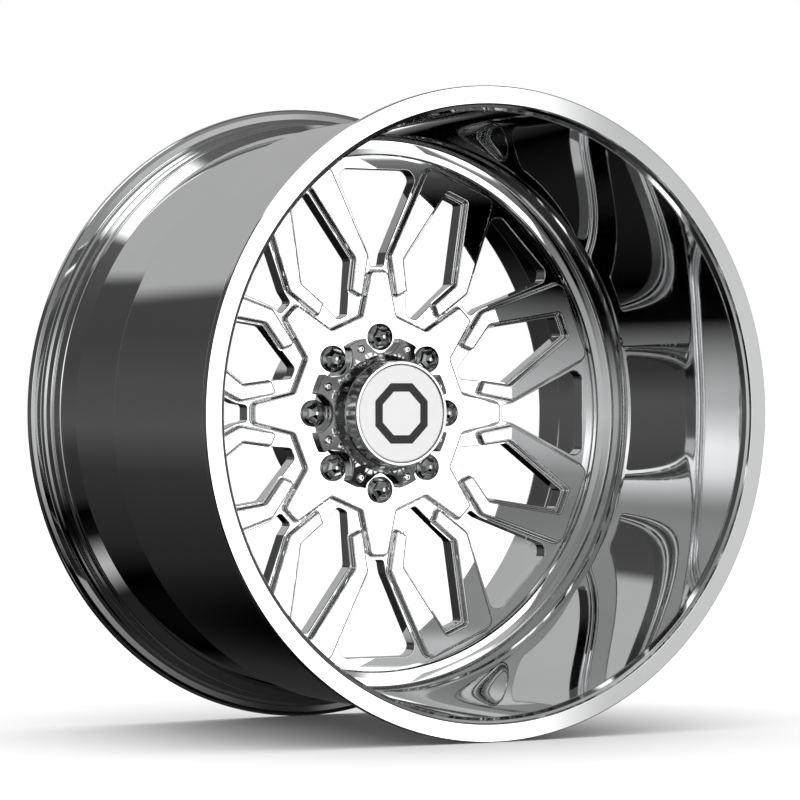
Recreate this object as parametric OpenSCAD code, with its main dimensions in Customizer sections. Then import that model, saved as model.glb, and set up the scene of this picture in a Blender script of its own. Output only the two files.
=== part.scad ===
/* [Rim] */
// Diameter over the flanges, the tallest size of the wheel
flange_d = 695.4; // [660:0.2:740]
// Width over both flanges
overall_w = 427; // [380:1:470]
// Thickness of each flange, so the rim width is overall_w less twice this
flange_t = 10.3; // [8:0.1:14]
// Diameter of the bead seats, a 26 inch rim
bead_d = 660.4; // [640:0.2:700]
// Radius of the thick outer drum between the front bead seat and the drop centre
drum_r = 324; // [318:0.5:327]
// Depth behind the front flange at which the thick drum ends
drum_end = 258; // [245:1:270]
// Radius of the drop centre's floor at its front, outside
drop_r = 315; // [308:0.5:317]
// Wall thickness of the rear barrel
barrel_wall = 9; // [6:0.5:12]

/* [Lip well] */
// Depth of the flat spoke face behind the front flange
face_t = 248; // [200:1:270]
// Radius of the lip well's mouth
well_front_r = 321.5; // [316:0.5:323]
// Radius of the lip well at its bottom
well_rear_r = 306.5; // [300:0.5:312]
// Radius of the seam where the centre is let into the barrel
seam_r = 286.5; // [280:0.5:290]

/* [Centre] */
// Hub offset: how far the mounting face lies behind the middle of the rim width
offset_back = 101; // [76:1:125]
// Height of the raised star and petals above the web
relief = 7; // [3:0.5:10]
// Thickness of the web that carries them
web = 18; // [12:1:25]
// Number of petals, studs and windows
count = 8; // [8:1:8]
// Radius of the blunt tips of the hub star
star_r = 158.5; // [150:0.5:165]
// Radius of the hub boss behind the web
boss_r = 108; // [104:1:110]

/* [Hub] */
// Bolt circle diameter
bolt_circle = 170; // [160:0.5:180]
// Diameter of the stud holes
stud_hole_d = 15.2; // [14.5:0.1:16]
// Diameter of the hub bore
hub_bore_d = 125.2; // [116:0.2:126]
// Diameter across the round collar of a lug nut
nut_collar_d = 30; // [26:0.5:31]
// Size across the flats of a lug nut
nut_flats = 21; // [19:0.5:22]

/* [Cap] */
// Height of the hub cap in front of the spoke face
cap_height = 48.5; // [40:0.5:60]
// Diameter of the cap's front rim
cap_d = 117.2; // [110:0.2:118]
// Diameter over the cap's lobed flange
cap_flange_d = 172; // [164:1:174]
// Thickness of the cap's flange at its root
cap_flange_t = 12; // [10:0.5:14]
// Slope of the flange's front, back towards its edge, in degrees
cap_flange_slope = 14; // [8:1:15]

/* [Valve] */
// Angle of the valve round the rim, counter-clockwise from +X as seen from the face
valve_angle = 30; // [0:1:359]

/* [Hidden] */

$fn = 96;
eps = 0.01;
arc_steps = 5;

// Depths are measured back from the front flange's plane and turned into the part's frame by place()
mid_t = overall_w / 2;
pad_t = mid_t + offset_back;
web_t = face_t + relief;
back_t = web_t + web;
flange_r = flange_d / 2;
bead_r = bead_d / 2;
step = 360 / count;
bolt_r = bolt_circle / 2;

// Lug seat: a 60 degree cone that opens at the spoke face, then a bore for the nut's shank
seat_r = 14.4;
seat_slope = tan(30);
shank_bore_r = 9.2;
shank_bore_end = 280;
nut_gap = 0.35;

// Cap levels, as depths behind the front flange
cap_front_t = face_t - cap_height;
cap_flange_front = face_t - cap_flange_t;
cap_r = cap_d / 2;
cap_screw_r = 77;
cap_screw_head_r = 4.8;
spigot_r = 66.3;
spigot_bore_r = 66.6;
spigot_len = 4.5;

// Valve: its axis is radial, through the drop centre's wall between two flat spot faces
valve_t = 314;
valve_seat_in = drop_r - barrel_wall + 0.5;
valve_seat_out = drop_r - 1;
valve_hole_r = 5.75;

// Turns an axis-along-Z model, with z as depth, into the part's frame with the wheel's axis along Y
module place() { translate([0, -pad_t, 0]) rotate([-90, 0, 0]) children(); }

// Copies a shape round the wheel's axis, the first one at angle start
module around(start = 0) { for (i = [0:count - 1]) rotate(start + i * step) children(); }

// A cylinder round the wheel's axis, from depth a to depth b
module span(r, a, b) { translate([0, 0, a]) cylinder(r = r, h = b - a); }

function unit(v) = v / norm(v);
function turn(a) = a > 180 ? a - 360 : a < -180 ? a + 360 : a;

// One vertex c between p and n, rounded to radius r, as a short run of points
function corner(p, c, n, r) =
    let (u = unit(p - c), v = unit(n - c), half = acos(u * v) / 2,
         m = c + unit(u + v) * r / sin(half),
         s = c + u * r / tan(half) - m, e = c + v * r / tan(half) - m,
         a0 = atan2(s[1], s[0]), da = turn(atan2(e[1], e[0]) - a0))
    [for (i = [0:arc_steps]) m + r * [cos(a0 + da * i / arc_steps), sin(a0 + da * i / arc_steps)]];

// A polygon whose vertices [x, y, radius] are rounded; radius 0 keeps a sharp corner
function rounded(pts) = let (k = len(pts)) [
    for (i = [0:k - 1])
        let (q = pts[i], c = [q[0], q[1]], p = pts[(i + k - 1) % k], n = pts[(i + 1) % k])
        each q[2] == 0 ? [c] : corner([p[0], p[1]], c, [n[0], n[1]], q[2])
];

// The same outline with its mirror image across the x axis
function both_sides(half) = concat(
    half,
    [for (i = [len(half) - 1:-1:0]) [half[i][0], -half[i][1], half[i][2]]]
);

// Rim barrel -----------------------------------------------------------------

// Flange, bead seat and safety hump at one end; d counts inward from the flange's outer plane
function bead_profile() = [
    [flange_r - 1, 0, 0], [flange_r, 1.2, 0], [flange_r, flange_t - 2.6, 2],
    [bead_r + 12, flange_t, 4], [bead_r + 0.6, flange_t + 5.5, 7],
    [bead_r - 0.4, flange_t + 21, 4], [bead_r + 1.2, flange_t + 26, 2.5],
    [bead_r - 1.4, flange_t + 31, 2.5],
];
function from_rear(profile) = [
    for (i = [len(profile) - 1:-1:0]) [profile[i][0], overall_w - profile[i][1], profile[i][2]]
];

rear_wall_t = overall_w - flange_t - 39;
drop_rear_t = 361;
drop_rise = 4.5;

function barrel_profile() = concat(
    bead_profile(),
    [[drum_r, 50, 4], [drum_r, drum_end, 1.5], [drop_r, drum_end + 9, 5],
     [drop_r + drop_rise, drop_rear_t, 3], [bead_r - 2.6, rear_wall_t, 2]],
    from_rear(bead_profile()),
    [[bead_r - 8, overall_w, 1.2], [bead_r - 10.5, overall_w - 6, 3], [bead_r - 11.5, rear_wall_t, 8],
     [drop_r - barrel_wall, drop_rear_t - 3, 8], [drop_r - barrel_wall, back_t + 26, 10],
     [seam_r, back_t + 8, 2], [seam_r, face_t - 2, 0.8], [seam_r + 1.6, face_t - 4.4, 1],
     [seam_r + 5.6, face_t - 13.5, 4.5], [seam_r + 18, face_t - 19, 7],
     [well_rear_r + 0.5, face_t - 32, 9], [well_front_r, 8, 5], [well_front_r + 7.2, 0, 3]]
);

module rim_barrel() {
    color("gainsboro")
        place()
            difference() {
                rotate_extrude($fn = 180) polygon(rounded(barrel_profile()));
                along_valve(valve_hole_r, valve_seat_in - 20, valve_seat_out + 20);
                along_valve(11.5, valve_seat_in - 12, valve_seat_in);
                along_valve(10, valve_seat_out, drum_r + 4);
            }
}

// Wheel centre ---------------------------------------------------------------

// Hub star: blunt tips with straight flanks down to a chord between two valley corners
function star_outline() = [
    for (i = [0:count - 1])
        let (a = i * step)
        each [for (q = [[110.2, -11.6, 4], [star_r, -3.9, 5.5], [star_r, 3.9, 5.5], [110.2, 11.6, 4]])
            [q[0] * cos(a + q[1]), q[0] * sin(a + q[1]), q[2]]]
];

// Half outlines along +X: a petal with its two prongs, its kite window, and the bay window between petals
petal_outline = [[279.5, 46.5, 11], [167.5, 54, 9], [128.5, 29.5, 3], [139.5, 19.3, 2.5], [170.5, 37, 7],
                 [263, 14.7, 4]];
kite_window = [[115, 6.2, 5], [169.5, 33.4, 9], [258.5, 11.2, 4]];
bay_window = [[163.5, 8.6, 4], [178, 11.2, 14], [262, 50, 9], [271.5, 41.5, 9]];

module centre_blank() {
    rotate_extrude($fn = 180)
        polygon([
            [40, face_t + eps], [100, face_t + eps], [100, web_t], [seam_r - 1.6, web_t],
            [seam_r, web_t + 1.6], [seam_r, back_t + 8], [seam_r - 8, back_t + 8],
            [seam_r - 11.5, back_t], [boss_r + 5, back_t], [boss_r, back_t + 6],
            [boss_r, pad_t - 2], [boss_r - 2, pad_t], [40, pad_t],
        ]);
}

module centre_relief() {
    translate([0, 0, face_t]) {
        linear_extrude(relief + eps) polygon(rounded(star_outline()));
        around(step / 2) linear_extrude(relief + eps) polygon(rounded(both_sides(petal_outline)));
    }
}

module centre_windows() {
    translate([0, 0, web_t - 1]) {
        around(step / 2) linear_extrude(web + 12) polygon(rounded(both_sides(kite_window)));
        around() linear_extrude(web + 12) polygon(rounded(both_sides(bay_window)));
    }
}

// Lug seats, shank bores and stud holes on the bolt circle
module lug_cuts() {
    cone_end = face_t + (seat_r - shank_bore_r) / seat_slope;
    around()
        translate([bolt_r, 0, 0]) {
            rotate_extrude() polygon([
                [0, face_t - 1], [seat_r + seat_slope, face_t - 1], [shank_bore_r, cone_end],
                [shank_bore_r, shank_bore_end], [0, shank_bore_end],
            ]);
            span(stud_hole_d / 2, shank_bore_end - 1, pad_t + 1);
        }
}

// Lightening pockets in the mounting face and tapped holes for the cap's screws
module pad_cuts() {
    around(step / 2) {
        translate([bolt_r, 0, 0]) span(11, pad_t - 26, pad_t + 1);
        translate([cap_screw_r, 0, 0]) span(3, face_t - 1, face_t + 18);
    }
}

module hub_bore() {
    r = hub_bore_d / 2;
    span(r, face_t - 1, pad_t + 1);
    span(spigot_bore_r, face_t - 1, face_t + spigot_len + 0.5);
    translate([0, 0, pad_t - 1.5]) cylinder(r1 = r, r2 = r + 2.5, h = 2.5);
}

module wheel_centre() {
    color("whitesmoke")
        place()
            difference() {
                union() {
                    centre_blank();
                    centre_relief();
                }
                centre_windows();
                lug_cuts();
                pad_cuts();
                hub_bore();
            }
}

// Lug nuts -------------------------------------------------------------------

nut_bore_r = 6.1;
nut_front = 10.2;
collar_front = 3.4;
collar_back = 0.4;
shank_r = shank_bore_r - 0.5;
shank_end = 24;

// A closed lug nut: chamfered hexagon, round collar, cone seat and threaded shank
module lug_nut(number) {
    z0 = face_t;
    cone_r = seat_r - 0.4;
    cone_z = z0 + (cone_r - shank_r) / seat_slope;
    hex_r = nut_flats / sqrt(3);
    color("silver")
        place()
            rotate((number - 1) * step)
                translate([bolt_r, 0, 0])
                    difference() {
                        union() {
                            intersection() {
                                translate([0, 0, z0 - nut_front])
                                    cylinder(r = hex_r, h = nut_front, $fn = 6);
                                rotate_extrude() polygon([
                                    [0, z0 - nut_front], [5, z0 - nut_front],
                                    [hex_r - 2.6, z0 - nut_front + 1.2],
                                    [hex_r + 0.2, z0 - nut_front + 3.6], [hex_r + 0.2, z0], [0, z0],
                                ]);
                            }
                            rotate_extrude() polygon([
                                [0, z0 - collar_front - 1.6], [nut_flats / 2, z0 - collar_front - 1.6],
                                [nut_collar_d / 2 - 0.6, z0 - collar_front + 0.6],
                                [nut_collar_d / 2, z0 - collar_front + 1.4],
                                [nut_collar_d / 2, z0 - collar_back], [cone_r, z0 - collar_back],
                                [cone_r, z0], [shank_r, cone_z],
                                [shank_r, z0 + shank_end], [0, z0 + shank_end],
                            ]);
                        }
                        span(nut_bore_r, z0 - nut_front + 4, z0 + shank_end + 1);
                    }
}

// Hub cap --------------------------------------------------------------------

bezel_bore_r = cap_r - 4.6;
bezel_len = 21.5;
skirt_r = 64.5;
disc_front = cap_front_t + 0.8;
disc_t = 2.4;
disc_r = bezel_bore_r - 0.8;
housing_nose_r = cap_r - 3.4;
o_ring_r = 1;
cap_flange_root_r = skirt_r + 1;
head_clearance = 0.4;
screw_seat = cap_flange_front
    + (cap_screw_r + cap_screw_head_r - cap_flange_root_r) * tan(cap_flange_slope);

module cap_flange_outline() {
    difference() {
        circle(r = cap_flange_d / 2, $fn = 180);
        around() translate([bolt_r + 1.5, 0]) circle(r = 21);
    }
}

// Lobed flange between the nuts, its front a shallow cone
module cap_flange() {
    edge_r = cap_flange_d / 2 + 1;
    edge_t = cap_flange_front + (edge_r - cap_flange_root_r) * tan(cap_flange_slope);
    intersection() {
        translate([0, 0, cap_flange_front]) linear_extrude(cap_flange_t) cap_flange_outline();
        rotate_extrude($fn = 180) polygon([
            [0, cap_flange_front], [cap_flange_root_r, cap_flange_front],
            [edge_r, edge_t], [edge_r, face_t], [0, face_t],
        ]);
    }
}

module cap_housing() {
    groove_t = face_t + 2.2;
    color("darkgray")
        place()
            difference() {
                union() {
                    cap_flange();
                    rotate_extrude($fn = 128) polygon([
                        [0, disc_front + disc_t], [housing_nose_r, disc_front + disc_t],
                        [housing_nose_r, cap_front_t + bezel_len], [cap_r - 0.6, cap_front_t + bezel_len],
                        [cap_r + 0.4, cap_front_t + bezel_len + 2], [skirt_r, cap_flange_front - 1],
                        [cap_flange_root_r, cap_flange_front], [cap_flange_root_r, face_t],
                        [spigot_r, face_t],
                        [spigot_r, face_t + spigot_len - 0.5], [0, face_t + spigot_len - 0.5],
                    ]);
                }
                span(housing_nose_r - 3.5, disc_front + disc_t + 4, face_t + spigot_len);
                rotate_extrude($fn = 128)
                    translate([spigot_bore_r - 2 * o_ring_r, groove_t - 1.1]) square([3, 2.2]);
                around(step / 2)
                    translate([cap_screw_r, 0, 0]) {
                        span(3.1, cap_flange_front - 1, face_t + 1);
                        span(cap_screw_head_r + head_clearance, cap_flange_front - 1, screw_seat);
                    }
            }
}

module cap_bezel() {
    color("lightgray")
        place()
            rotate_extrude($fn = 128) polygon([
                [bezel_bore_r, cap_front_t + 0.5], [bezel_bore_r + 0.5, cap_front_t],
                [cap_r - 1.1, cap_front_t], [cap_r, cap_front_t + 1.1], [cap_r, cap_front_t + bezel_len],
                [housing_nose_r, cap_front_t + bezel_len], [housing_nose_r, disc_front + disc_t],
                [bezel_bore_r, disc_front + disc_t],
            ]);
}

module cap_disc() {
    color("white")
        place()
            rotate_extrude($fn = 128) polygon([
                [0, disc_front], [disc_r - 0.6, disc_front], [disc_r, disc_front + 0.6],
                [disc_r, disc_front + disc_t], [0, disc_front + disc_t],
            ]);
}

// A plain octagonal band, as generic as the bolt count
module cap_emblem() {
    color("dimgray")
        place()
            translate([0, 0, disc_front - 0.5])
                rotate(step / 2)
                    difference() {
                        cylinder(r = 36, h = 0.5, $fn = 8);
                        translate([0, 0, -1]) cylinder(r = 26, h = 3, $fn = 8);
                    }
}

module cap_o_ring() {
    color("black")
        place()
            rotate_extrude($fn = 128)
                translate([spigot_bore_r - o_ring_r, face_t + 2.2]) circle(r = o_ring_r, $fn = 24);
}

module cap_screws() {
    head_r = cap_screw_head_r;
    head_t = 2.6;
    socket_flats = 4;
    front = screw_seat - head_t;
    color("silver")
        place()
            around(step / 2)
                translate([cap_screw_r, 0, 0])
                    difference() {
                        rotate_extrude($fn = 48) polygon([
                            [0, front], [head_r - 2.2, front], [head_r - 0.7, front + 0.9],
                            [head_r, screw_seat - 0.6], [head_r, screw_seat], [2.95, screw_seat],
                            [2.95, face_t + 15], [0, face_t + 15],
                        ]);
                        translate([0, 0, front - 1])
                            cylinder(r = socket_flats / sqrt(3), h = 2.8, $fn = 6);
                    }
}

// Valve ----------------------------------------------------------------------

stem_r = 4.1;
stem_tip = valve_seat_in - 27.5;
stem_neck_r = 3.8;
core_r = 2.2;
pin_r = 0.7;
valve_nut_flats = 14;

// Stands its children on the valve's axis, where z is the distance from the wheel's axis
module on_valve() { translate([0, 0, valve_t]) rotate(-valve_angle) rotate([0, 90, 0]) children(); }
module along_valve(r, a, b) { on_valve() span(r, a, b); }

module valve_stem() {
    color("silver")
        place()
            on_valve()
                difference() {
                    rotate_extrude($fn = 48) polygon([
                        [0, stem_tip], [stem_neck_r - 0.5, stem_tip], [stem_neck_r, stem_tip + 0.5],
                        [stem_neck_r, stem_tip + 11], [stem_r, stem_tip + 11.5],
                        [stem_r, valve_seat_out + 2.5], [8.4, valve_seat_out + 2.5],
                        [8.4, valve_seat_out + 5], [7.4, valve_seat_out + 6], [0, valve_seat_out + 6],
                    ]);
                    span(core_r + 0.05, stem_tip - 1, stem_tip + 17);
                    span(1.3, stem_tip + 16, valve_seat_out + 7);
                }
}

module valve_grommet() {
    color("black")
        place()
            on_valve()
                rotate_extrude($fn = 48) polygon([
                    [stem_r, valve_seat_in + 1], [valve_hole_r, valve_seat_in + 1],
                    [valve_hole_r, valve_seat_out], [8.4, valve_seat_out], [8.4, valve_seat_out + 2.5],
                    [stem_r, valve_seat_out + 2.5],
                ]);
}

module valve_washer() {
    color("gray")
        place()
            on_valve()
                difference() {
                    span(8.6, valve_seat_in - 1.2, valve_seat_in);
                    span(stem_r + 0.1, valve_seat_in - 2, valve_seat_in + 1);
                }
}

module valve_nut() {
    color("silver")
        place()
            on_valve()
                difference() {
                    intersection() {
                        translate([0, 0, valve_seat_in - 7.2])
                            cylinder(r = valve_nut_flats / sqrt(3), h = 6, $fn = 6);
                        rotate_extrude($fn = 48) polygon([
                            [0, valve_seat_in - 7.2], [valve_nut_flats / 2, valve_seat_in - 7.2],
                            [valve_nut_flats / 2 + 1.2, valve_seat_in - 6.2],
                            [valve_nut_flats / 2 + 1.2, valve_seat_in - 1.2], [0, valve_seat_in - 1.2],
                        ]);
                    }
                    span(stem_r + 0.05, valve_seat_in - 8, valve_seat_in);
                }
}

// The core screws into the stem's mouth; its pin stands through it
module valve_core() {
    color("goldenrod")
        place()
            on_valve()
                difference() {
                    span(core_r, stem_tip + 2, stem_tip + 8);
                    span(pin_r + 0.08, stem_tip + 1, stem_tip + 9);
                }
}

module valve_core_pin() {
    color("goldenrod")
        place()
            on_valve() {
                span(pin_r, stem_tip + 0.4, stem_tip + 12);
                span(1.7, stem_tip + 8.4, stem_tip + 9.6);
            }
}

// A helical spring on the ledge behind the pin's collar, at its pressed length, as one closed tube
spring_r = 1.45;
wire_r = 0.2;
spring_turns = 5;
spring_pitch = 0.85;
spring_sides = 8;
spring_steps = 16;

function spring_point(i, j) =
    let (a = 360 * i / spring_steps, b = 360 * j / spring_sides, r = spring_r + wire_r * cos(b))
    [r * cos(a), r * sin(a), spring_pitch * i / spring_steps + wire_r * sin(b)];

module valve_core_spring() {
    last_ring = spring_steps * spring_turns;
    points = [for (i = [0:last_ring], j = [0:spring_sides - 1]) spring_point(i, j)];
    start_face = [for (j = [0:spring_sides - 1]) j];
    end_face = [for (j = [spring_sides - 1:-1:0]) last_ring * spring_sides + j];
    sides = [
        for (i = [0:last_ring - 1], j = [0:spring_sides - 1])
            let (k = (j + 1) % spring_sides, m = i * spring_sides, n = m + spring_sides)
            each [[m + j, n + j, n + k], [m + j, n + k, m + k]]
    ];
    color("silver")
        place()
            on_valve()
                translate([0, 0, stem_tip + 12.5])
                    polyhedron(points, concat([start_face, end_face], sides));
}

module valve_cap() {
    color("dimgray")
        place()
            on_valve()
                difference() {
                    rotate_extrude($fn = 48) polygon([
                        [0, stem_tip - 3], [3.6, stem_tip - 3], [4.8, stem_tip - 1.8],
                        [4.8, stem_tip + 9], [5.2, stem_tip + 9.4], [5.2, stem_tip + 10.6],
                        [0, stem_tip + 10.6],
                    ]);
                    span(stem_neck_r + 0.1, stem_tip - 1.2, stem_tip + 11);
                }
}

module valve_cap_seal() {
    color("black")
        place()
            on_valve()
                difference() {
                    span(3.85, stem_tip - 1.2, stem_tip - 0.3);
                    span(1.4, stem_tip - 2, stem_tip);
                }
}

rim_barrel();
wheel_centre();
lug_nut(1);  // lug_nut_1
lug_nut(2);  // lug_nut_2
lug_nut(3);  // lug_nut_3
lug_nut(4);  // lug_nut_4
lug_nut(5);  // lug_nut_5
lug_nut(6);  // lug_nut_6
lug_nut(7);  // lug_nut_7
lug_nut(8);  // lug_nut_8
cap_housing();
cap_bezel();
cap_disc();
cap_emblem();
cap_o_ring();
cap_screws();
valve_stem();
valve_grommet();
valve_washer();
valve_nut();
valve_core();
valve_core_pin();
valve_core_spring();
valve_cap();
valve_cap_seal();
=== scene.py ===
"""Studio scene for a polished forged wheel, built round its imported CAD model."""

import math

import bpy
import numpy as np
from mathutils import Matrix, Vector
from mathutils.geometry import delaunay_2d_cdt


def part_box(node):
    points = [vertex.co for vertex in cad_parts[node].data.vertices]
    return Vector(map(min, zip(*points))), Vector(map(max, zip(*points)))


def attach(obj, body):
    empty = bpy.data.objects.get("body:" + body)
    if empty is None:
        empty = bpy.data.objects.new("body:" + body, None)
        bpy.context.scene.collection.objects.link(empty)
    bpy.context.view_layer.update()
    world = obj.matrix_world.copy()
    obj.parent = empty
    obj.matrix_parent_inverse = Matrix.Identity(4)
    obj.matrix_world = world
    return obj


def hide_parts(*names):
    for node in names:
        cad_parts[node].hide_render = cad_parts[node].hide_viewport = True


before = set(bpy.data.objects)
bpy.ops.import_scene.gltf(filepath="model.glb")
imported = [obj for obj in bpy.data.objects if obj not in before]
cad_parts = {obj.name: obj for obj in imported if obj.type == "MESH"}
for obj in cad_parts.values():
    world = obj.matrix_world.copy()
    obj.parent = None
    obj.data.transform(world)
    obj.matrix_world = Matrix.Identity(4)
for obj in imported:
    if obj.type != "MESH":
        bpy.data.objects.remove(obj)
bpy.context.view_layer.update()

MM = 0.001
TAU = 2 * math.pi
PAD = -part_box("rim_barrel")[0].y / MM  # depth of the mounting face behind the front flange's plane
FLOOR_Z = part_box("rim_barrel")[0].z
COUNT = 8
STEP = 360 / COUNT
AXIS_SEGMENTS, HOLE_SEGMENTS, HEAD_SEGMENTS, NUT_SEGMENTS = 256, 64, 48, 96  # round a circle

# Outlines and profiles -------------------------------------------------------

MIN_CORNER = 0.02  # smallest rounding, in millimetres
STRAIGHT = 1e-6  # a turn below this, in radians, is no corner
HALF_SIDE = 0.499  # share of a side that one corner may use
MERGE = 1e-5  # points of a flat face nearer than this are one
FACES_FRONT = -0.99  # a normal's depth part below this belongs to a flat front face


def cis(degrees):
    return np.array([math.cos(math.radians(degrees)), math.sin(math.radians(degrees))])


def rounded(points, closed=True, steps=6):
    """Points and unit normals of a line whose corners [x, y, radius] are rounded.
    A normal lies to the right of the line's direction, so it points out of a counter-clockwise outline."""
    k = len(points)
    out, normals = [], []
    for i in range(k):
        c = np.array(points[i][:2], float)
        if not closed and i in (0, k - 1):
            other = np.array(points[1 if i == 0 else k - 2][:2], float)
            d = (other - c) if i == 0 else (c - other)
            d /= np.linalg.norm(d)
            out.append(c)
            normals.append(np.array([d[1], -d[0]]))
            continue
        p, n = (np.array(points[j % k][:2], float) for j in (i - 1, i + 1))
        a, b = c - p, n - c
        la, lb = np.linalg.norm(a), np.linalg.norm(b)
        a, b = a / la, b / lb
        turn = math.atan2(a[0] * b[1] - a[1] * b[0], a @ b)
        radius = max(points[i][2], MIN_CORNER)
        if abs(turn) < STRAIGHT:
            out.append(c)
            normals.append(np.array([a[1], -a[0]]))
            continue
        cut = min(radius * math.tan(abs(turn) / 2), HALF_SIDE * la, HALF_SIDE * lb)
        radius = cut / math.tan(abs(turn) / 2)
        side = math.copysign(1, turn)
        right = np.array([a[1], -a[0]])
        centre = c - a * cut - right * radius * side
        count = max(2, int(steps * abs(turn) / (math.pi / 2)) + 1)
        for j in range(count + 1):
            w = turn * j / count
            cw, sw = math.cos(w), math.sin(w)
            nn = np.array([cw * right[0] - sw * right[1], sw * right[0] + cw * right[1]])
            out.append(centre + nn * radius * side)
            normals.append(nn)
    return np.array(out), np.array(normals)


def mirrored(half):
    return half + [[x, -y, r] for x, y, r in half[::-1]]


def outline(points, steps=8):
    """A closed outline, counter-clockwise, as (points, outward normals)."""
    p = np.array(points, float)
    area = np.sum(p[:, 0] * np.roll(p[:, 1], -1) - np.roll(p[:, 0], -1) * p[:, 1])
    return rounded(points if area > 0 else points[::-1], True, steps)


def turned(shape, degrees):
    """An outline turned about the origin."""
    c, s = cis(degrees)
    m = np.array([[c, s], [-s, c]])
    return shape[0] @ m, shape[1] @ m


def spot(centre, segments):
    """A circle of no radius, as (points, outward normals): an offset from it is a round outline."""
    a = np.arange(segments) * TAU / segments
    return np.tile(np.array(centre, float), (segments, 1)), np.stack([np.cos(a), np.sin(a)], 1)


class Shell:
    """Collects patches of one surface, with exact normals, in (x, depth, z) millimetres."""

    def __init__(self):
        self.points, self.normals, self.faces, self.total = [], [], [], 0

    def patch(self, points, normals, faces):
        faces = np.array(faces)
        p = points[faces]
        g = np.cross(p[:, 1] - p[:, 0], p[:, -1] - p[:, 0]) + np.cross(p[:, 2] - p[:, 1], p[:, 0] - p[:, 1])
        flip = np.einsum("ij,ij->i", g, normals[faces].sum(1)) < 0
        faces[flip] = faces[flip][:, ::-1]
        self.points.append(points)
        self.normals.append(normals)
        self.faces += (faces + self.total).tolist()
        self.total += len(points)

    def wall(self, shape, profile, side=1):
        """Sweeps a profile of (offset, depth) points and normals round a closed outline.
        side is -1 where the material lies outside the outline."""
        base, out = shape
        (offsets, depths), (no, nt) = profile[0].T, profile[1].T * side
        rows, cols = len(offsets), len(base)
        xz = base[None] + out[None] * offsets[:, None, None]
        n = out[None] * no[:, None, None]
        y = np.repeat(depths[:, None], cols, 1)
        points = np.stack([xz[..., 0], y, xz[..., 1]], 2).reshape(-1, 3)
        normals = np.stack([n[..., 0], np.repeat(nt[:, None], cols, 1), n[..., 1]], 2).reshape(-1, 3)
        k, i = np.meshgrid(np.arange(rows - 1), np.arange(cols), indexing="ij")
        j = (i + 1) % cols
        faces = np.stack([k * cols + i, k * cols + j, (k + 1) * cols + j, (k + 1) * cols + i], 2)
        self.patch(points, normals, faces.reshape(-1, 4))

    def cap(self, depth, facing, outer, holes=()):
        """Fills a flat face at a depth between an outer outline and its holes.
        facing is +1 or -1 along depth."""
        loops = [outer, *holes]
        flat, edges = [], []
        for loop in loops:
            start, n = len(flat), len(loop)
            flat += [Vector((float(x), float(z))) for x, z in loop]
            edges += [(start + i, start + (i + 1) % n) for i in range(n)]
        verts, _, tris, *_ = delaunay_2d_cdt(flat, edges, [], 0, MERGE)
        points = np.array([(v.x, depth, v.y) for v in verts])
        normals = np.tile([0.0, float(facing), 0.0], (len(points), 1))
        tris = np.array(tris)
        middle = points[tris].mean(1)
        inside = np.zeros(len(tris), bool)
        for loop in loops:
            for (x0, y0), (x1, y1) in zip(loop, np.roll(loop, -1, 0)):
                if y0 != y1:
                    crossed = (middle[:, 2] < y0) != (middle[:, 2] < y1)
                    inside ^= crossed & (middle[:, 0] < (x1 - x0) * (middle[:, 2] - y0) / (y1 - y0) + x0)
        self.patch(points, normals, tris[inside])

    def slope(self, start, depth, angle):
        """Tips the front face at a depth, and what is just behind it, back beyond a radius into a cone."""
        reach = 2.0
        for points, normals in zip(self.points, self.normals):
            radius = np.hypot(points[:, 0], points[:, 2])
            tipped = (radius > start) & (points[:, 1] < depth + reach)
            points[tipped, 1] += ((radius - start) * math.tan(angle))[tipped]
            facing = tipped & (normals[:, 1] < FACES_FRONT)
            out = points[facing][:, [0, 2]] / radius[facing, None]
            normals[facing] = np.stack([out[:, 0] * math.sin(angle), np.full(len(out), -math.cos(angle)),
                                        out[:, 1] * math.sin(angle)], 1)

    def build(self, name, weld=1e-3):
        """Welds the patches into one mesh object in the row frame, with its own normals."""
        points, normals = np.concatenate(self.points), np.concatenate(self.normals)
        keys, index = np.unique(np.round(points / weld).astype(np.int64), axis=0, return_inverse=True)
        index = index.reshape(-1)
        co, n = np.zeros((len(keys), 3)), np.zeros(len(keys))
        np.add.at(co, index, points)
        np.add.at(n, index, 1)
        co /= n[:, None]
        normals /= np.maximum(np.linalg.norm(normals, axis=1), 1e-9)[:, None]
        faces, corners = [], []
        for f in self.faces:
            kept = [v for i, v in enumerate(f) if index[v] != index[f[i - 1]]]
            if len({int(index[v]) for v in kept}) >= 3:
                faces.append([int(index[v]) for v in kept])
                corners += kept
        world = np.stack([co[:, 0], co[:, 1] - PAD, co[:, 2]], 1) * MM
        mesh = bpy.data.meshes.new(name)
        mesh.from_pydata(world.tolist(), [], faces)
        mesh.polygons.foreach_set("use_smooth", [True] * len(mesh.polygons))
        mesh.update()
        mesh.normals_split_custom_set(normals[corners].tolist())
        piece = bpy.data.objects.new(name, mesh)
        bpy.context.scene.collection.objects.link(piece)
        return piece


def lathe(points, closed=False, segments=AXIS_SEGMENTS, steps=6):
    """A shell with one profile of [radius, depth, corner] turned round the wheel's axis."""
    shell = Shell()
    shell.wall(spot((0, 0), segments), rounded_profile(points, closed, steps))
    return shell


def rounded_profile(points, closed=False, steps=6):
    p, n = rounded(points, closed, steps)
    if closed:
        p, n = np.vstack([p, p[:1]]), np.vstack([n, n[:1]])
    return p, n


def dress(piece, body, slot, material, *nodes):
    piece.data.materials.append(material)
    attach(piece, body)
    if nodes:
        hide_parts(*nodes)
    return piece


# Materials -------------------------------------------------------------------

MOTTLE_SCALE, SKIN_SCALE = 60.0, 720.0  # noise in a plastic's colour and on its skin


def node_tree(name):
    m = bpy.data.materials.new(name)
    m.use_nodes = True
    tree = m.node_tree
    return m, tree, tree.nodes["Principled BSDF"]


def link(tree, a, b):
    tree.links.new(a, b)


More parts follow.
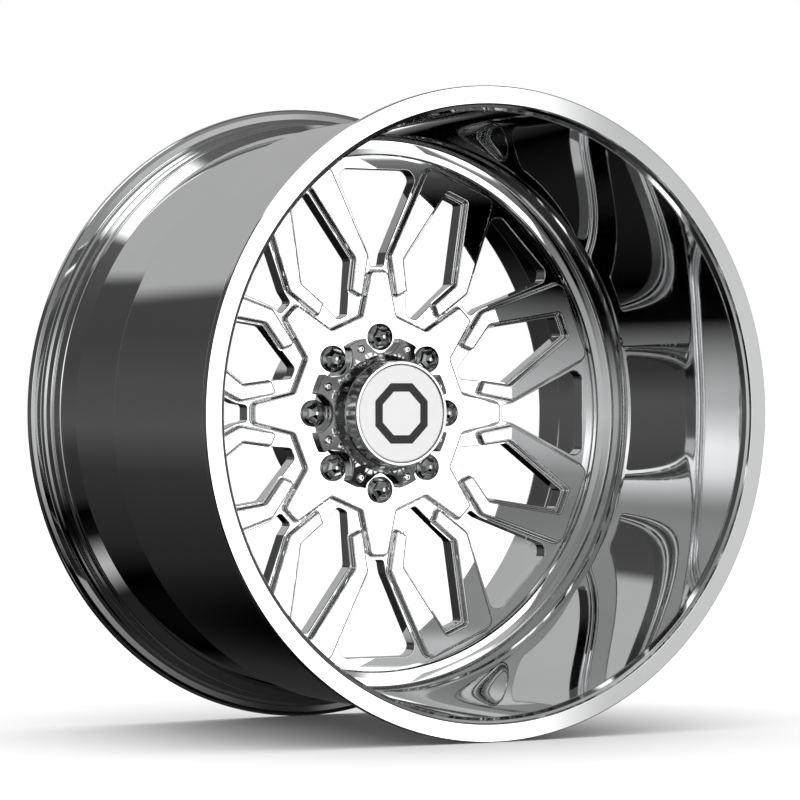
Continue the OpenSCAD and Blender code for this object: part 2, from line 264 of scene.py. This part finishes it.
def new(tree, kind, **values):
    n = tree.nodes.new(kind)
    for key, value in values.items():
        setattr(n, key, value)
    return n


def noise(tree, scale, detail=3.0):
    """Object-space noise, as the node that gives it."""
    at = new(tree, "ShaderNodeTexCoord")
    n = new(tree, "ShaderNodeTexNoise")
    n.inputs["Scale"].default_value = scale
    n.inputs["Detail"].default_value = detail
    link(tree, at.outputs["Object"], n.inputs["Vector"])
    return n


def ramp(tree, source, low, high, dark, light):
    """Maps a factor between low and high onto a colour or a value."""
    r = new(tree, "ShaderNodeValToRGB")
    r.color_ramp.elements[0].position = low
    r.color_ramp.elements[1].position = high
    r.color_ramp.elements[0].color = (*dark, 1)
    r.color_ramp.elements[1].color = (*light, 1)
    link(tree, source, r.inputs["Fac"])
    return r.outputs["Color"]


def spread(tree, source, low, high):
    m = new(tree, "ShaderNodeMapRange")
    m.inputs["To Min"].default_value = low
    m.inputs["To Max"].default_value = high
    link(tree, source, m.inputs["Value"])
    return m.outputs["Result"]


def metal(name, tint, rough, scale, dark=0.96):
    """Bright metal with faint cloudiness in its colour and polish."""
    m, tree, shader = node_tree(name)
    shader.inputs["Metallic"].default_value = 1.0
    cloud = noise(tree, scale, 4.0)
    link(tree, ramp(tree, cloud.outputs["Fac"], 0.3, 0.7, [c * dark for c in tint], tint),
         shader.inputs["Base Color"])
    fine = noise(tree, scale * 9, 2.0)
    link(tree, spread(tree, fine.outputs["Fac"], rough * 0.6, rough * 1.4), shader.inputs["Roughness"])
    return m


def plastic(name, colour, rough, variation, bump=0.05, coat=0.0):
    """Enamel, moulded plastic or rubber with slight mottling and a fine skin."""
    m, tree, shader = node_tree(name)
    cloud = noise(tree, MOTTLE_SCALE, 4.0)
    link(tree, ramp(tree, cloud.outputs["Fac"], 0.3, 0.7, [c * variation for c in colour], colour),
         shader.inputs["Base Color"])
    fine = noise(tree, SKIN_SCALE, 2.0)
    link(tree, spread(tree, fine.outputs["Fac"], rough * 0.8, rough * 1.2), shader.inputs["Roughness"])
    shader.inputs["Coat Weight"].default_value = coat
    shader.inputs["Coat Roughness"].default_value = 0.05
    b = new(tree, "ShaderNodeBump")
    b.inputs["Strength"].default_value = bump
    b.inputs["Distance"].default_value = 0.0002
    link(tree, fine.outputs["Fac"], b.inputs["Height"])
    link(tree, b.outputs["Normal"], shader.inputs["Normal"])
    return m


ALLOY = metal("polished_alloy", (0.93, 0.935, 0.94), 0.03, scale=14.0)
CENTRE = metal("polished_centre", (0.95, 0.955, 0.96), 0.025, scale=18.0)
NUT_CHROME = metal("nut_chrome", (0.62, 0.625, 0.63), 0.04, scale=120.0)
CAP_CHROME = metal("cap_chrome", (0.54, 0.542, 0.546), 0.08, scale=60.0)
BEZEL_CHROME = metal("bezel_chrome", (0.90, 0.905, 0.91), 0.15, scale=60.0)
SCREW = metal("screw_steel", (0.95, 0.95, 0.95), 0.10, scale=300.0, dark=0.9)
NICKEL = metal("valve_nickel", (0.78, 0.76, 0.72), 0.12, scale=300.0, dark=0.85)
BRASS = metal("core_brass", (0.80, 0.62, 0.32), 0.18, scale=300.0, dark=0.85)
STEEL = metal("zinc_steel", (0.6, 0.6, 0.6), 0.25, scale=300.0, dark=0.8)
ENAMEL = plastic("white_enamel", (0.93, 0.93, 0.925), 0.12, coat=0.6, variation=0.985, bump=0.02)
CHARCOAL = plastic("charcoal_print", (0.012, 0.012, 0.013), 0.35, variation=0.8)
RUBBER = plastic("black_rubber", (0.02, 0.02, 0.02), 0.6, variation=0.7, bump=0.2)
BLACK = plastic("black_plastic", (0.02, 0.02, 0.021), 0.42, variation=0.75, bump=0.15)

# Barrel ----------------------------------------------------------------------

FLANGE_R, WIDTH, FLANGE_T, BEAD_R = 347.7, 427.0, 10.3, 330.2
FACE, WEB, BACK = 248.0, 255.0, 273.0
SEAM_R = 286.5


def bead():
    """The front flange and bead seat, from the flange's rim back."""
    return [
        [FLANGE_R - 1, 0, 0.3], [FLANGE_R, 1.2, 0.3], [FLANGE_R, FLANGE_T - 2.6, 2],
        [BEAD_R + 12, FLANGE_T, 4], [BEAD_R + 0.6, FLANGE_T + 5.5, 7], [BEAD_R - 0.4, FLANGE_T + 21, 4],
        [BEAD_R + 1.2, FLANGE_T + 26, 2.5], [BEAD_R - 1.4, FLANGE_T + 31, 2.5],
    ]


def barrel():
    """The outer barrel. Its profile runs back over the outside and forward again inside to the lip."""
    drum_r, drum_end, drop_r, drop_rise, wall, drop_rear = 324.0, 258.0, 315.0, 4.5, 9.0, 361.0
    well_front = 321.5
    rear_wall = WIDTH - FLANGE_T - 39
    rear = [
        [BEAD_R - 2.2, rear_wall + 3.8, 0.3], [BEAD_R - 1.0, rear_wall + 4.5, 0.5], [BEAD_R - 0.6, 388, 1],
        [BEAD_R + 1.2, 391, 1.5], [BEAD_R, 395, 1], [BEAD_R, 398, 0.3], [BEAD_R + 1.0, 398.7, 0.5],
        [BEAD_R + 0.6, 409.5, 3], [BEAD_R + 4.6, 411.5, 1.2], [BEAD_R + 5.4, 415.5, 1.6],
        [BEAD_R + 12.5, 416.7, 3], [FLANGE_R, 418.5, 3], [FLANGE_R, WIDTH - 1.2, 0.3],
        [FLANGE_R - 1, WIDTH, 0.3],
    ]
    profile = bead() + [
        [drum_r, 50, 4], [drum_r, drum_end, 1.5], [drop_r, drum_end + 9, 5],
        [drop_r + drop_rise, drop_rear, 3], [BEAD_R - 2.6, rear_wall, 2],
    ] + rear + [
        [BEAD_R - 8, WIDTH, 1.2], [BEAD_R - 10.5, WIDTH - 6, 3], [BEAD_R - 11.5, rear_wall, 8],
        [drop_r - wall, drop_rear - 3, 8], [drop_r - wall, BACK + 26, 10], [SEAM_R, BACK + 8, 2],
        [SEAM_R, FACE - 0.5, 0.8], [SEAM_R + 1.6, FACE - 2.2, 1], [SEAM_R + 8, FACE - 3.4, 14],
        [SEAM_R + 18.6, FACE - 4.4, 3.2], [SEAM_R + 19.4, FACE - 25, 7], [SEAM_R + 21.2, FACE - 29, 2.5],
        [SEAM_R + 21.1, FACE - 40, 5], [well_front, 9, 4],
        [well_front + 3.2, 3.6, 0.8], [well_front + 6.2, 2.6, 0.6], [well_front + 7.2, 0, 0.7],
    ]
    p = np.array(profile)[:, :2]
    area = np.sum(p[:, 0] * np.roll(p[:, 1], -1) - np.roll(p[:, 0], -1) * p[:, 1])
    shell = lathe(profile if area > 0 else profile[::-1], closed=True, segments=384, steps=10)
    return shell.build("barrel_turned")


# Wheel centre ----------------------------------------------------------------

BOLT_R, SEAT_R, SHANK_BORE_R, SHANK_END, STUD_R = 85.0, 14.4, 9.2, 280.0, 7.6
SPIGOT_R, SPIGOT_END, BORE_R, BOSS_R = 66.6, 253.0, 62.6, 108.0
POCKET_R, POCKET_DEPTH = 11.0, 26.0  # hollows in the pad, between the studs
SEAT_ANGLE = math.radians(30)  # of a nut's cone, from its axis
EDGE = 2.3  # broken edges of the raised star and petals
FOOT = 2.6  # fillet at their foot
WINDOW_EDGE = 1.0


def star():
    """The hub's raised star: eight blunt tips, with a chord between each two."""
    points = []
    valley_r, valley_a, tip_r, tip_a = 110.2, 11.6, 158.5, 3.9
    for i in range(COUNT):
        for r, a, corner in ((valley_r, -valley_a, 4), (tip_r, -tip_a, 5.5), (tip_r, tip_a, 5.5),
                             (valley_r, valley_a, 4)):
            x, y = r * cis(i * STEP + a)
            points.append([x, y, corner])
    return outline(points)


def petal():
    """A raised petal along +X, with its two prongs."""
    return outline(mirrored([[279.5, 46.5, 11], [167.5, 54, 9], [128.5, 29.5, 3], [139.5, 19.3, 2.5],
                             [170.5, 37, 7], [263, 14.7, 4]]))


def kite():
    """The window in a petal's fork."""
    return outline(mirrored([[115, 6.2, 5], [169.5, 33.4, 9], [258.5, 11.2, 4]]))


def bay():
    """The window between two petals."""
    return outline(mirrored([[163.5, 8.6, 4], [178, 11.2, 14], [262, 50, 9], [271.5, 41.5, 9]]))


def offset(shape, by):
    return shape[0] + shape[1] * by


def centre():
    shell = Shell()
    hub = star()
    petals = [turned(petal(), (i + 0.5) * STEP) for i in range(COUNT)]
    windows = [turned(kite(), (i + 0.5) * STEP) for i in range(COUNT)]
    windows += [turned(bay(), i * STEP) for i in range(COUNT)]
    seats = [spot(BOLT_R * cis(i * STEP), HOLE_SEGMENTS) for i in range(COUNT)]
    pockets = [spot(BOLT_R * cis((i + 0.5) * STEP), HOLE_SEGMENTS) for i in range(COUNT)]
    axis = spot((0, 0), AXIS_SEGMENTS)
    # raised star and petals, with a filleted foot and a broken top edge
    rise = rounded_profile([[FOOT + 1, WEB, 0], [0, WEB, FOOT], [0, FACE, EDGE], [-EDGE - 1, FACE, 0]])
    rise = (rise[0][1:-1], rise[1][1:-1])
    for shape in [hub, *petals]:
        shell.wall(shape, rise, -1)
    seat_edge = SEAT_R + 0.4
    bore_edge = SPIGOT_R + 0.4
    shell.cap(FACE, -1, offset(hub, -EDGE),
              [offset(s, seat_edge) for s in seats] + [offset(axis, bore_edge)])
    for shape in petals:
        shell.cap(FACE, -1, offset(shape, -EDGE))
    # web with its windows
    shell.cap(WEB, -1, offset(axis, SEAM_R - 1.6),
              [offset(s, FOOT) for s in [hub, *petals]] + [offset(w, WINDOW_EDGE) for w in windows])
    through = rounded_profile([[WINDOW_EDGE + 1, WEB, 0], [0, WEB, WINDOW_EDGE], [0, BACK, WINDOW_EDGE],
                               [WINDOW_EDGE + 1, BACK, 0]])
    through = (through[0][1:-1], through[1][1:-1])
    for shape in windows:
        shell.wall(shape, through, -1)
    # seam, back and boss
    shell.wall(axis, rounded_profile([
        [SEAM_R - 1.6, WEB, 0], [SEAM_R, WEB + 1.6, 0.3], [SEAM_R, BACK + 8, 0.5],
        [SEAM_R - 8, BACK + 8, 1.5], [SEAM_R - 11.5, BACK, 0]]))
    shell.cap(BACK, 1, offset(axis, SEAM_R - 11.5),
              [offset(w, WINDOW_EDGE) for w in windows] + [offset(axis, BOSS_R + 5)])
    shell.wall(axis, rounded_profile([
        [BOSS_R + 5, BACK, 0], [BOSS_R, BACK + 6, 3], [BOSS_R, PAD - 2, 0.4], [BOSS_R - 2, PAD, 0]]))
    shell.cap(PAD, 1, offset(axis, BOSS_R - 2),
              [offset(s, STUD_R + 0.5) for s in seats] + [offset(s, POCKET_R + 0.5) for s in pockets]
              + [offset(axis, BORE_R + 2.5)])
    slope = math.tan(SEAT_ANGLE)
    cone_end = FACE + (SEAT_R - SHANK_BORE_R) / slope
    for s in seats:
        shell.wall(s, rounded_profile([
            [seat_edge, FACE, 0], [SEAT_R, FACE + 0.5, 0.2], [SHANK_BORE_R, cone_end, 0.5],
            [SHANK_BORE_R, SHANK_END, 0.2], [STUD_R, SHANK_END, 0.3], [STUD_R, PAD - 0.5, 0.2],
            [STUD_R + 0.5, PAD, 0]]), -1)
    floor = PAD - POCKET_DEPTH
    for s in pockets:
        shell.wall(s, rounded_profile([
            [0, floor, 0], [POCKET_R, floor, 2], [POCKET_R, PAD - 0.5, 0.2], [POCKET_R + 0.5, PAD, 0]]), -1)
    shell.wall(axis, rounded_profile([
        [bore_edge, FACE, 0], [SPIGOT_R, FACE + 0.4, 0.2], [SPIGOT_R, SPIGOT_END, 0.2],
        [BORE_R, SPIGOT_END, 0.3], [BORE_R, PAD - 1.5, 0.4], [BORE_R + 2.5, PAD, 0]]), -1)
    return shell.build("centre_forged")


dress(barrel(), "wheel", "barrel_alloy", ALLOY, "rim_barrel")
dress(centre(), "wheel", "centre_alloy", CENTRE, "wheel_centre")

# Hub cap ---------------------------------------------------------------------

CAP_FRONT, CAP_R, BEZEL_LEN, FLANGE_FRONT = 199.5, 58.6, 21.5, 236.0
DISC_FRONT, DISC_T = CAP_FRONT + 0.8, 2.4
BEZEL_BORE = CAP_R - 4.6
SCREW_R, SCREW_SEAT = 77.0, 240.1
FLANGE_SLOPE = math.radians(14)


def lobed():
    """The cap flange's outline: a lobe between each two nuts, and a scallop round each nut."""
    points = []
    scallop, out, bulge, quarter = 21.0, 86.0, 0.23, 4.2
    corner_r = scallop / math.cos(math.radians(22.5))  # of the octagon round the scallop's circle
    for i in range(COUNT):
        a = i * STEP
        c = (BOLT_R + 1.5) * cis(a)
        for k in (247.5, 202.5, 157.5, 112.5):
            x, y = c + corner_r * cis(a + k)
            points.append([x, y, scallop])
        lean = math.degrees(math.asin(scallop / out))
        for b, r, corner in ((lean, out, 1.6), (STEP / 2 - quarter, out + bulge, out),
                             (STEP / 2 + quarter, out + bulge, out), (STEP - lean, out, 1.6)):
            x, y = r * cis(a + b)
            points.append([x, y, corner])
    return outline(points, 10)


def cap_housing():
    shell = Shell()
    axis = spot((0, 0), AXIS_SEGMENTS)
    flange = lobed()
    edge = 1.0
    side = rounded_profile([[-edge - 1, FACE - 0.02, 0], [0, FACE - 0.02, 0.3], [0, FLANGE_FRONT, edge],
                            [-edge - 1, FLANGE_FRONT, 0]])
    side = (side[0][1:-1], side[1][1:-1])
    shell.wall(flange, side, -1)
    foot_r, head_r, shank_r = 65.1, 5.2, 2.9
    heads = [spot(SCREW_R * cis((i + 0.5) * STEP), HEAD_SEGMENTS) for i in range(COUNT)]
    shell.cap(FLANGE_FRONT, -1, offset(flange, -edge),
              [offset(axis, foot_r)] + [offset(h, head_r) for h in heads])
    for h in heads:
        shell.wall(h, rounded_profile([
            [head_r, FLANGE_FRONT, 0], [head_r, SCREW_SEAT, 0.2], [shank_r, SCREW_SEAT, 0]]), -1)
    shell.slope(foot_r, FLANGE_FRONT, FLANGE_SLOPE)
    ring = CAP_FRONT + BEZEL_LEN
    skirt = [[foot_r, FLANGE_FRONT, 0], [64.3, FLANGE_FRONT - 1.2, 0.8], [60.4, ring + 3.6, 1],
             [59.4, ring + 1.2, 0.5], [57.6, ring + 0.4, 0.3], [57.6, ring - 0.6, 0.2],
             [55.2, ring - 0.6, 0]]
    shell.wall(axis, rounded_profile(skirt), -1)
    return shell.build("cap_housing_turned")


def cap_bezel():
    back, floor, wall = CAP_FRONT + BEZEL_LEN, CAP_FRONT + 3.2, 3.2
    return lathe([
        [BEZEL_BORE, floor, 0.2], [BEZEL_BORE, CAP_FRONT + 0.7, 0.2],
        [BEZEL_BORE + 0.9, CAP_FRONT, 0.5], [CAP_R - 1.2, CAP_FRONT, 0.8],
        [CAP_R, CAP_FRONT + 1.3, 0.8], [CAP_R, back - 0.4, 0.3],
        [CAP_R - 0.4, back, 0.2], [CAP_R - wall, back, 0.2], [CAP_R - wall, floor, 0.2],
    ], closed=True).build("cap_bezel_turned")


def cap_disc():
    r = BEZEL_BORE - 0.5
    shell = lathe([[0.05, DISC_FRONT, 0], [r - 0.7, DISC_FRONT, 0.6], [r, DISC_FRONT + 0.7, 0.4],
                   [r, DISC_FRONT + DISC_T, 0.1], [0.05, DISC_FRONT + DISC_T, 0]], segments=192)
    return shell.build("cap_disc_enamelled")


def emblem():
    """A plain octagonal band, flat on the disc."""
    shell = Shell()
    outer_r, inner_r = 36, 26
    outer = outline([[*(outer_r * cis((i + 0.5) * STEP)), 1.2] for i in range(COUNT)])
    inner = outline([[*(inner_r * cis((i + 0.5) * STEP)), 1.0] for i in range(COUNT)])
    top, edge = DISC_FRONT - 0.45, 0.15
    rise = rounded_profile([[0, DISC_FRONT + 0.2, 0], [0, top, edge], [-edge - 1, top, 0]])
    fall = rounded_profile([[0, DISC_FRONT + 0.2, 0], [0, top, edge], [edge + 1, top, 0]])
    shell.wall(outer, (rise[0][:-1], rise[1][:-1]), -1)
    shell.wall(inner, (fall[0][:-1], fall[1][:-1]))
    shell.cap(top, -1, offset(outer, -edge), [offset(inner, edge)])
    return shell.build("cap_emblem_band")


dress(cap_housing(), "wheel", "cap_chrome", CAP_CHROME, "cap_housing")
dress(cap_bezel(), "wheel", "bezel_chrome", BEZEL_CHROME, "cap_bezel")
dress(cap_disc(), "wheel", "disc_white", ENAMEL, "cap_disc")
dress(emblem(), "wheel", "emblem_charcoal", CHARCOAL, "cap_emblem")

# Lug nuts --------------------------------------------------------------------


def lug_nut(number):
    """A domed hexagon on a round collar: rows of the profile, each clipped to the hexagon."""
    flats, widest, foot, swell, collar = 21.0, 12.6, 4.4, 1.04, 15.0
    profile = [[0.05, 10.2, 0], [2.2, 10.1, 5], [6.2, 9.0, 6], [10.0, 6.9, 5],
               [12.3, 4.9, 1], [widest, 4.5, 0.2]]
    hexa, _ = rounded(profile, False, 6)
    a = np.arange(NUT_SEGMENTS) * TAU / NUT_SEGMENTS
    sector = (a + TAU / 12) % (TAU / 6) - TAU / 12
    rows = np.concatenate([hexa, [[widest, foot]]])
    # every row is a hexagon with slightly rounded corners
    sharp = 60.0
    facet = np.log(sum(np.exp(sharp * np.cos(sector + k * TAU / 6)) for k in (-1, 0, 1))) / sharp
    radius = rows[:, :1] * flats / 2 / widest / facet[None] * swell
    radius[0] = 0.01
    shell = Shell()
    cx, cz = BOLT_R * cis((number - 1) * STEP)
    turn = math.radians((number - 1) * STEP)
    ca, sa = np.cos(a + turn), np.sin(a + turn)
    depth = np.repeat(FACE - rows[:, 1:], NUT_SEGMENTS, 1)
    points = np.stack([cx + radius * ca, depth, cz + radius * sa], 2)
    du = np.roll(points, -1, 1) - np.roll(points, 1, 1)
    dv = np.gradient(points, axis=0)
    normals = np.cross(du, dv)
    normals /= np.maximum(np.linalg.norm(normals, axis=2), 1e-9)[..., None]
    normals *= np.sign((normals[len(rows) // 2, 0] @ np.array([ca[0], -0.4, sa[0]])))
    normals[0] = (0, -1, 0)
    count = len(rows)
    k, i = np.meshgrid(np.arange(count - 1), np.arange(NUT_SEGMENTS), indexing="ij")
    j = (i + 1) % NUT_SEGMENTS
    row, below = k * NUT_SEGMENTS, (k + 1) * NUT_SEGMENTS
    faces = np.stack([row + i, row + j, below + j, below + i], 2).reshape(-1, 4)
    shell.patch(points.reshape(-1, 3), normals.reshape(-1, 3), faces)
    ring = spot((cx, cz), NUT_SEGMENTS)
    slope = math.tan(SEAT_ANGLE)
    cone, shank, thread = 14.0, 8.7, 6.1
    end, floor = FACE + 24, FACE - 6
    shell.wall(ring, rounded_profile([
        [8.6, FACE - 4.6, 0], [10.9, FACE - 4.9, 0.5], [collar - 0.4, FACE - 3.2, 0.7],
        [collar, FACE - 2.0, 0.5], [collar, FACE - 0.5, 0.3], [cone, FACE - 0.4, 0.1], [cone, FACE, 0.1],
        [shank, FACE + (cone - shank) / slope, 0.5], [shank, end, 0.6], [thread, end, 0.4],
        [thread, floor, 0.3], [0.05, floor, 0]], steps=4))
    piece = shell.build(f"lug_nut_{number}_polished", weld=1e-4)
    return dress(piece, f"nut_{number}", "nut_chrome", NUT_CHROME, f"lug_nut_{number}")


for number in range(1, COUNT + 1):
    lug_nut(number)

# Small CAD nodes that are shown as they are ------------------------------------

for name, material in {
    "cap_screws": SCREW, "cap_o_ring": RUBBER, "valve_stem": NICKEL, "valve_grommet": RUBBER,
    "valve_washer": STEEL, "valve_nut": NICKEL, "valve_core": BRASS, "valve_core_pin": BRASS,
    "valve_core_spring": STEEL, "valve_cap": BLACK, "valve_cap_seal": RUBBER,
}.items():
    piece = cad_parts[name]
    piece.data.materials.clear()
    piece.data.materials.append(material)

# Studio ----------------------------------------------------------------------

# brightness against a direction's height, from -1 straight down to 1 straight up,
# in front of the wheel and behind it
FRONT_SKY = [(-1.0, 0.10), (-0.8, 0.08), (-0.62, 0.0), (-0.37, 0.0), (-0.3, 0.14), (-0.2, 0.34),
             (-0.1, 0.48), (0.0, 0.55), (0.12, 0.42), (0.2, 0.26), (0.3, 0.2), (0.45, 0.28),
             (0.6, 0.26), (1.0, 0.15)]
REAR_SKY = [(-1.0, 0.02), (-0.7, 0.012), (-0.48, 0.0), (-0.41, 0.02), (-0.19, 0.035),
            (-0.05, 0.083), (0.1, 0.073), (0.24, 0.056), (0.5, 0.06), (0.8, 0.1), (1.0, 0.14)]
PANELS = [
    # azimuth, elevation, half width, half height, softness, strength
    (23.2, 0, 9, 15, 1.2, 1.6),  # mirrored by the wheel's face
    (22, 20, 9, 6, 3, 0.28),  # above it
    (18, -21, 6, 5, 4, 0.05),  # below it
    (38, 0, 5.5, 30, 1.5, 0.1),  # beside it, for the lip's right half
    (-36, 10, 8, 7, 6, 0.8),  # seen twice reflected in the dish's wall
    (167, 24, 29, 22, 2.5, 0.36),  # the drum's upper half
    (-90, 71.5, 25, 16, 3.5, 1.4),  # overhead
    (-112.6, -44.4, 9, 4.5, 5, 0.45),  # low, for the barrel's rear edge
]
AMBIENT = 1.25  # light on dull surfaces
SUN_ENERGY, SUN_ANGLE = 0.8, math.radians(60)  # from straight above
FLOOR_HALF = 30.0
FLOOR_DARK, FLOOR_PALE = (0.79, 0.79, 0.79), (0.81, 0.81, 0.81)
LENS, SENSOR = 182.2, 36
CAMERA_AT, CAMERA_TOWARDS = (-2.2491, -3.9651, 0.0148), (0.5040, 0.8637, 0.0)


def studio():
    """A dark room with bright soft panels, by direction only, and plain white for the backdrop."""
    world = bpy.data.worlds.new("studio")
    bpy.context.scene.world = world
    world.use_nodes = True
    tree = world.node_tree
    tree.nodes.clear()
    at = new(tree, "ShaderNodeTexCoord")
    direction = new(tree, "ShaderNodeVectorMath", operation="NORMALIZE")
    link(tree, at.outputs["Generated"], direction.inputs[0])
    split = new(tree, "ShaderNodeSeparateXYZ")
    link(tree, direction.outputs["Vector"], split.inputs[0])

    def put(value, socket):
        if isinstance(value, (int, float)):
            socket.default_value = value
        else:
            link(tree, value, socket)

    def maths(operation, *values):
        n = new(tree, "ShaderNodeMath", operation=operation)
        for socket, value in zip(n.inputs, values):
            put(value, socket)
        return n.outputs[0]

    def between(factor, low, high):
        """low where the factor is 0, high where it is 1."""
        n = new(tree, "ShaderNodeMapRange")
        for name, value in (("Value", factor), ("To Min", low), ("To Max", high)):
            put(value, n.inputs[name])
        return n.outputs["Result"]

    def step(value, edge, soft, low, high):
        """Goes smoothly from low to high as value crosses an edge."""
        n = new(tree, "ShaderNodeMapRange", interpolation_type="SMOOTHSTEP")
        names = ("Value", "From Min", "From Max", "To Min", "To Max")
        for name, number in zip(names, (value, edge - soft, edge + soft, low, high)):
            put(number, n.inputs[name])
        return n.outputs["Result"]

    def dot(v):
        n = new(tree, "ShaderNodeVectorMath", operation="DOT_PRODUCT")
        n.inputs[1].default_value = v
        link(tree, direction.outputs["Vector"], n.inputs[0])
        return n.outputs["Value"]

    def panel(azimuth, elevation, half_w, half_h, soft, strength):
        """A soft rectangle. Azimuth is from the front, towards +X; all angles in degrees."""
        a, e = math.radians(azimuth), math.radians(elevation)
        middle = Vector((math.sin(a) * math.cos(e), -math.cos(a) * math.cos(e), math.sin(e)))
        right = Vector((math.cos(a), math.sin(a), 0))
        ahead = dot(middle)
        safe = maths("MAXIMUM", ahead, 0.001)
        blur = math.tan(math.radians(soft))
        lit = step(ahead, 0.02, 0.01, 0, strength)
        for axis, half in ((right, half_w), (right.cross(middle), half_h)):
            across = maths("ABSOLUTE", maths("DIVIDE", dot(axis), safe))
            lit = maths("MULTIPLY", lit, step(across, math.tan(math.radians(half)), blur, 1, 0))
        return lit

    def by_height(levels):
        n = new(tree, "ShaderNodeValToRGB")
        stops = n.color_ramp.elements
        for height, value in levels[1:-1]:
            stops.new((height + 1) / 2).color = (value, value, value, 1)
        for end, (_, value) in ((stops[0], levels[0]), (stops[-1], levels[-1])):
            end.color = (value, value, value, 1)
        link(tree, maths("MULTIPLY_ADD", split.outputs["Z"], 0.5, 0.5), n.inputs["Fac"])
        return n.outputs["Color"]

    behind = step(split.outputs["Y"], -0.6, 0.2, 0, 1)
    total = between(behind, by_height(FRONT_SKY), by_height(REAR_SKY))
    for spec in PANELS:
        total = maths("ADD", total, panel(*spec))
    path = new(tree, "ShaderNodeLightPath")
    total = between(path.outputs["Is Diffuse Ray"], total, AMBIENT)
    total = between(path.outputs["Is Camera Ray"], total, 1.0)
    background = new(tree, "ShaderNodeBackground")
    link(tree, total, background.inputs["Color"])
    out = new(tree, "ShaderNodeOutputWorld")
    link(tree, background.outputs[0], out.inputs["Surface"])


studio()

sun = bpy.data.lights.new("overhead", "SUN")
sun.energy = SUN_ENERGY
sun.angle = SUN_ANGLE
sun_object = bpy.data.objects.new("overhead", sun)
sun_object.visible_glossy = False
bpy.context.scene.collection.objects.link(sun_object)

floor_mesh = bpy.data.meshes.new("floor")
corners = [(sx * FLOOR_HALF, sy * FLOOR_HALF, FLOOR_Z) for sx, sy in ((-1, -1), (1, -1), (1, 1), (-1, 1))]
floor_mesh.from_pydata(corners, [], [(0, 1, 2, 3)])
floor = bpy.data.objects.new("floor", floor_mesh)
bpy.context.scene.collection.objects.link(floor)
floor.visible_glossy = False
floor_mat, floor_tree, floor_shader = node_tree("pale_floor")
floor_shader.inputs["Roughness"].default_value = 1.0
floor_shader.inputs["Specular IOR Level"].default_value = 0.0
floor_noise = noise(floor_tree, 6.0)
link(floor_tree, ramp(floor_tree, floor_noise.outputs["Fac"], 0.3, 0.7, FLOOR_DARK, FLOOR_PALE),
     floor_shader.inputs["Base Color"])
floor_mesh.materials.append(floor_mat)

camera_data = bpy.data.cameras.new("camera")
camera_data.lens = LENS
camera_data.sensor_width = SENSOR
camera = bpy.data.objects.new("camera", camera_data)
camera.location = CAMERA_AT
camera.rotation_mode = "QUATERNION"
camera.rotation_quaternion = Vector(CAMERA_TOWARDS).to_track_quat("-Z", "Y")
bpy.context.scene.collection.objects.link(camera)
bpy.context.scene.camera = camera
bpy.context.scene.view_settings.view_transform = "Standard"
